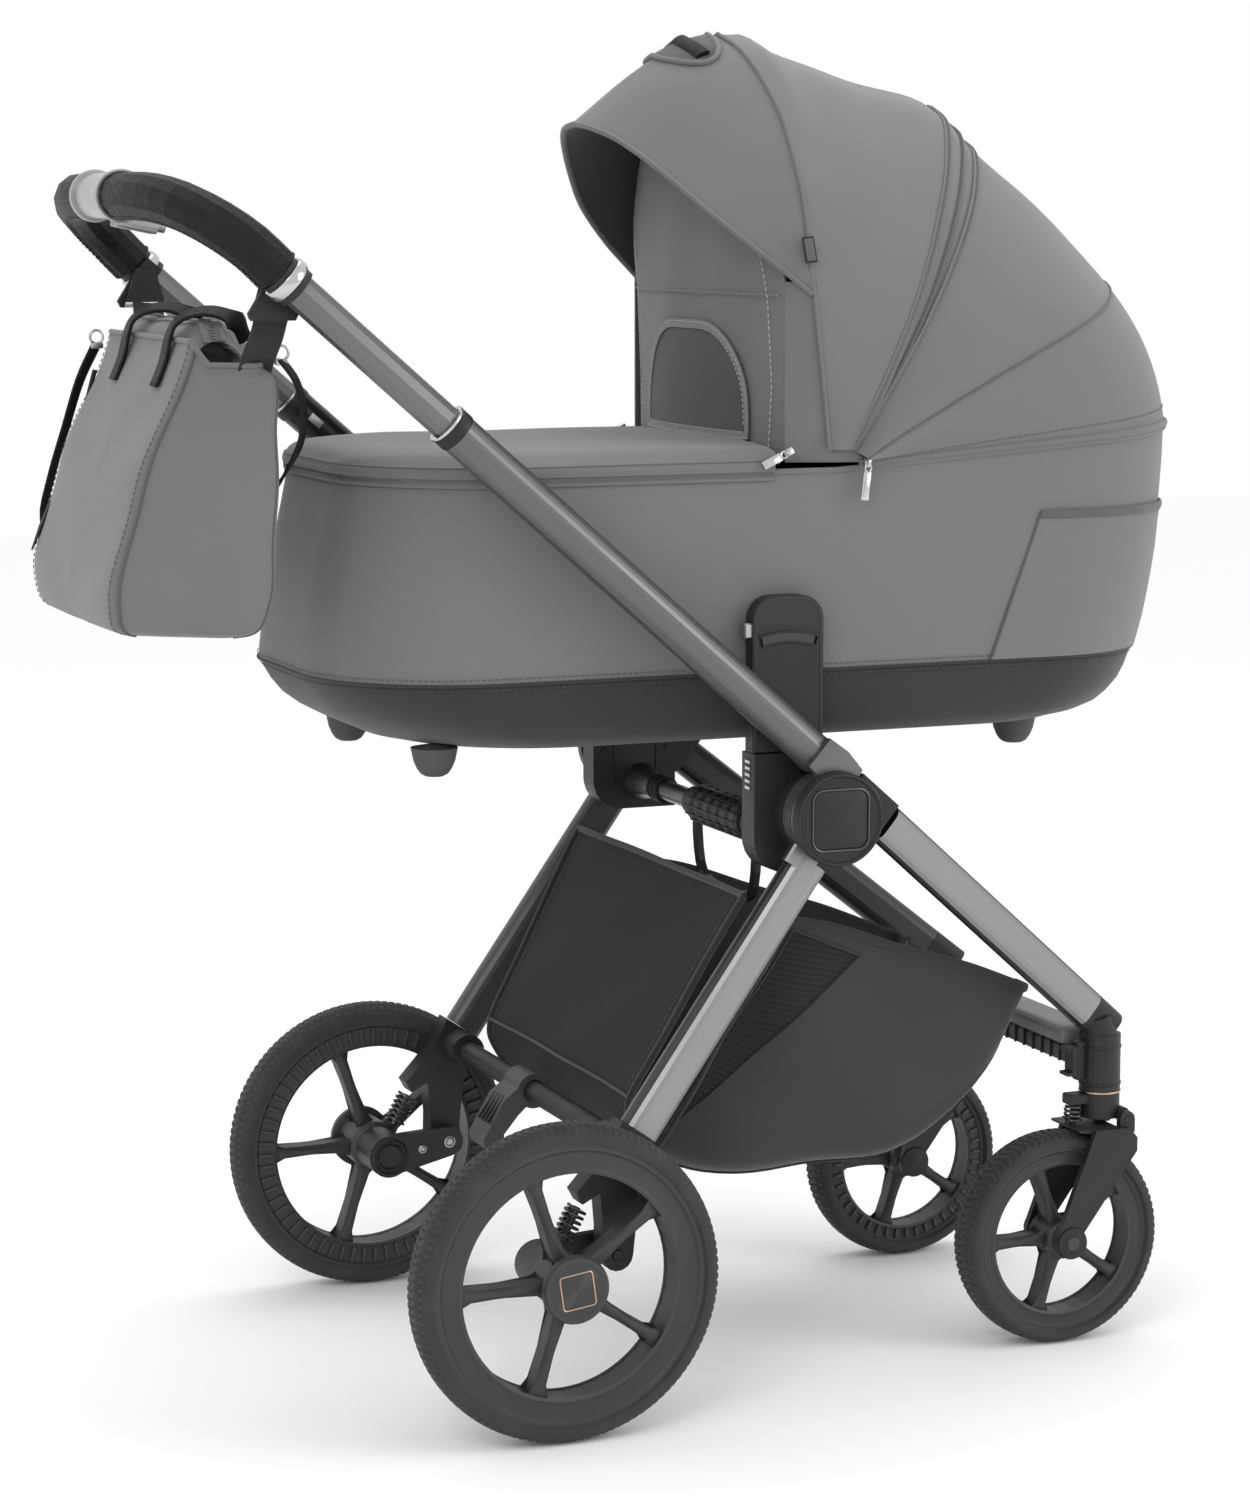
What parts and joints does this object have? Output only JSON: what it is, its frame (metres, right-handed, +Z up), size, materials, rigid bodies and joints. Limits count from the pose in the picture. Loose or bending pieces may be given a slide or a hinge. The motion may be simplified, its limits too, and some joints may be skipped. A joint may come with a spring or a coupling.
{
  "type": "baby stroller",
  "caption": "Folding pram chassis with sprung wheels, telescopic leather-grip handle, lift-off carrycot with folding canopy, mesh basket and hanging nursery bag.",
  "frame": {"origin": "on the floor, under the middle of the stroller's bounding box without its free shoulder strap", "axes": "+Z up, +X towards the front swivel wheels, +Y to the left of the person pushing; the nodes ending _R stand on the -Y side"},
  "size_m": [1.0618, 0.614, 1.248],
  "materials": {
    "tube_metal": "satin gunmetal paint on flat-oval and round tube",
    "silver_metal": "satin silver",
    "matte_black_plastic": "fine-grained matte black",
    "tyre_rubber": "matte foam-filled tyre",
    "black_leatherette": "grained black leatherette",
    "grey_fabric": "tightly woven mid grey",
    "charcoal_fabric": "woven charcoal",
    "dark_lining": "soft dark lining",
    "spring_steel": "blackened spring steel"
  },
  "bodies": {
    "chassis": {"hub_R": "matte_black_plastic", "hub_L": "matte_black_plastic", "front_leg_R": "tube_metal", "front_leg_L": "tube_metal", "caster_housing_R": "matte_black_plastic", "caster_housing_L": "matte_black_plastic", "front_crossbar": "matte_black_plastic", "fold_cross_tube": "tube_metal", "basket": "charcoal_fabric"},
    "rear_frame": {"rear_leg_R": "tube_metal", "rear_leg_L": "tube_metal", "rear_axle": "tube_metal", "rear_panel": "charcoal_fabric", "rear_spring_R": "spring_steel", "rear_spring_L": "spring_steel"},
    "brake": {"brake_pedal": "matte_black_plastic"},
    "lock_sleeve": {"fold_lock_sleeve": "matte_black_plastic"},
    "pull_handle": {"fold_pull_handle": "matte_black_plastic"},
    "handle": {"handle_tube_R": "tube_metal", "handle_tube_L": "tube_metal"},
    "handle_upper": {"handle_bar": "tube_metal", "grip_R": "black_leatherette", "grip_L": "black_leatherette", "handle_sleeve": "silver_metal", "bag_bracket_R": "silver_metal", "bag_bracket_L": "silver_metal"},
    "handle_button": {"telescope_button": "silver_metal"},
    "bag_body": {"bag": "grey_fabric", "bag_strap": "black_leatherette"},
    "carrycot": {"carrycot_tub": "grey_fabric", "mattress": "dark_lining", "apron": "grey_fabric", "adapter_R": "matte_black_plastic", "adapter_L": "matte_black_plastic", "canopy_rear_panel": "grey_fabric"},
    "flap": {"wind_flap": "grey_fabric"},
    "canopy_middle": {"canopy_middle_bow": "matte_black_plastic", "canopy_front_panel": "grey_fabric"},
    "canopy_front": {"canopy_front_bow": "matte_black_plastic", "canopy_visor": "grey_fabric"},
    "rear_arm_R": {"rear_arm_R": "matte_black_plastic"},
    "rear_wheel_R": {"rear_rim_R": "matte_black_plastic", "rear_tyre_R": "tyre_rubber"},
    "caster_R": {"caster_R": "matte_black_plastic", "front_spring_R": "spring_steel"},
    "fork_R": {"fork_R": "matte_black_plastic"},
    "front_wheel_R": {"front_rim_R": "matte_black_plastic", "front_tyre_R": "tyre_rubber"},
    "swivel_lock_R": {"swivel_lock_R": "matte_black_plastic"},
    "adapter_button_R": {"adapter_button_R": "silver_metal"},
    "rear_arm_L": {"rear_arm_L": "matte_black_plastic"},
    "rear_wheel_L": {"rear_rim_L": "matte_black_plastic", "rear_tyre_L": "tyre_rubber"},
    "caster_L": {"caster_L": "matte_black_plastic", "front_spring_L": "spring_steel"},
    "fork_L": {"fork_L": "matte_black_plastic"},
    "front_wheel_L": {"front_rim_L": "matte_black_plastic", "front_tyre_L": "tyre_rubber"},
    "swivel_lock_L": {"swivel_lock_L": "matte_black_plastic"},
    "adapter_button_L": {"adapter_button_L": "silver_metal"}
  },
  "joints": [
    {"name": "chassis_fold", "type": "hinge", "parent": "chassis", "child": "rear_frame", "pos_m": [0.1036, 0, 0.543], "axis": [0, -1, 0], "range_deg": [0, 58], "deforming": ["basket"]},
    {"name": "brake_press", "type": "hinge", "parent": "rear_frame", "child": "brake", "pos_m": [-0.0889, 0, 0.25], "axis": [0, -1, 0], "range_deg": [0, 25]},
    {"name": "rear_suspension_R", "type": "hinge", "parent": "rear_frame", "child": "rear_arm_R", "pos_m": [-0.1039, -0.2115, 0.155], "axis": [0, 1, 0], "range_deg": [0, 8], "stiffness_Nm_per_rad": 14, "springref_deg": -22.92, "deforming": ["rear_spring_R"]},
    {"name": "rear_wheel_spin_R", "type": "hinge", "parent": "rear_arm_R", "child": "rear_wheel_R", "pos_m": [-0.1669, -0.277, 0.145], "axis": [0, 1, 0], "continuous": true},
    {"name": "caster_swivel_R", "type": "hinge", "parent": "chassis", "child": "caster_R", "pos_m": [0.4301, -0.17, 0.2428], "axis": [0, 0, 1], "continuous": true},
    {"name": "front_suspension_R", "type": "hinge", "parent": "caster_R", "child": "fork_R", "pos_m": [0.4461, -0.17, 0.219], "axis": [0, 1, 0], "range_deg": [0, 6], "stiffness_Nm_per_rad": 20, "springref_deg": -17.19, "deforming": ["front_spring_R"]},
    {"name": "front_wheel_spin_R", "type": "hinge", "parent": "fork_R", "child": "front_wheel_R", "pos_m": [0.3841, -0.17, 0.104], "axis": [0, 1, 0], "continuous": true},
    {"name": "swivel_lock_slide_R", "type": "slide", "parent": "chassis", "child": "swivel_lock_R", "axis": [0, 0, 1], "range_m": [-0.008, 0]},
    {"name": "rear_suspension_L", "type": "hinge", "parent": "rear_frame", "child": "rear_arm_L", "pos_m": [-0.1039, 0.2115, 0.155], "axis": [0, 1, 0], "range_deg": [0, 8], "stiffness_Nm_per_rad": 14, "springref_deg": -22.92, "deforming": ["rear_spring_L"]},
    {"name": "rear_wheel_spin_L", "type": "hinge", "parent": "rear_arm_L", "child": "rear_wheel_L", "pos_m": [-0.1669, 0.277, 0.145], "axis": [0, 1, 0], "continuous": true},
    {"name": "caster_swivel_L", "type": "hinge", "parent": "chassis", "child": "caster_L", "pos_m": [0.4301, 0.17, 0.2428], "axis": [0, 0, 1], "continuous": true},
    {"name": "front_suspension_L", "type": "hinge", "parent": "caster_L", "child": "fork_L", "pos_m": [0.4461, 0.17, 0.219], "axis": [0, 1, 0], "range_deg": [0, 6], "stiffness_Nm_per_rad": 20, "springref_deg": -17.19, "deforming": ["front_spring_L"]},
    {"name": "front_wheel_spin_L", "type": "hinge", "parent": "fork_L", "child": "front_wheel_L", "pos_m": [0.3841, 0.17, 0.104], "axis": [0, 1, 0], "continuous": true},
    {"name": "swivel_lock_slide_L", "type": "slide", "parent": "chassis", "child": "swivel_lock_L", "axis": [0, 0, 1], "range_m": [-0.008, 0]},
    {"name": "lock_sleeve_twist", "type": "hinge", "parent": "chassis", "child": "lock_sleeve", "pos_m": [0.0961, -0.029, 0.515], "axis": [0, 1, 0], "range_deg": [0, 35], "stiffness_Nm_per_rad": 0.2},
    {"name": "pull_handle_swing", "type": "hinge", "parent": "chassis", "child": "pull_handle", "pos_m": [0.0961, -0.029, 0.515], "axis": [0, -1, 0], "range_deg": [0, 58]},
    {"name": "handle_fold", "type": "hinge", "parent": "chassis", "child": "handle", "pos_m": [0.1036, 0, 0.543], "axis": [0, 1, 0], "range_deg": [0, 3]},
    {"name": "handle_telescope", "type": "slide", "parent": "handle", "child": "handle_upper", "axis": [-0.7536, 0, 0.6574], "range_m": [-0.035, 0.06]},
    {"name": "telescope_button_press", "type": "slide", "parent": "handle_upper", "child": "handle_button", "axis": [-0.9816, 0, 0.1908], "range_m": [0, 0.003], "stiffness_N_per_m": 200, "springref_m": -0.002},
    {"name": "bag_swing", "type": "hinge", "parent": "handle_upper", "child": "bag_body", "pos_m": [-0.4039, 0, 1.005], "axis": [0, 1, 0], "range_deg": [0, 8]},
    {"name": "carrycot_lift", "type": "slide", "parent": "chassis", "child": "carrycot", "axis": [0, 0, 1], "range_m": [0, 0.25]},
    {"name": "adapter_button_press_R", "type": "slide", "parent": "carrycot", "child": "adapter_button_R", "axis": [1, 0, 0], "range_m": [0, 0.0025], "stiffness_N_per_m": 200, "springref_m": -0.002},
    {"name": "adapter_button_press_L", "type": "slide", "parent": "carrycot", "child": "adapter_button_L", "axis": [1, 0, 0], "range_m": [0, 0.0025], "stiffness_N_per_m": 200, "springref_m": -0.002},
    {"name": "wind_flap_fold", "type": "hinge", "parent": "carrycot", "child": "flap", "pos_m": [0.0691, 0, 0.876], "axis": [0, -1, 0], "range_deg": [0, 80]},
    {"name": "canopy_middle_fold", "type": "hinge", "parent": "carrycot", "child": "canopy_middle", "pos_m": [0.1431, 0, 0.862], "axis": [0, 1, 0], "range_deg": [0, 35], "deforming": ["canopy_rear_panel"]},
    {"name": "canopy_front_fold", "type": "hinge", "parent": "canopy_middle", "child": "canopy_front", "pos_m": [0.1431, 0, 0.862], "axis": [0, 1, 0], "range_deg": [0, 22], "deforming": ["canopy_front_panel"]}
  ],
  "couplings": [
    {"joint": "canopy_front_fold", "follows": "canopy_middle_fold", "ratio": 0.6286},
    {"joint": "pull_handle_swing", "follows": "chassis_fold", "ratio": 1}
  ]
}
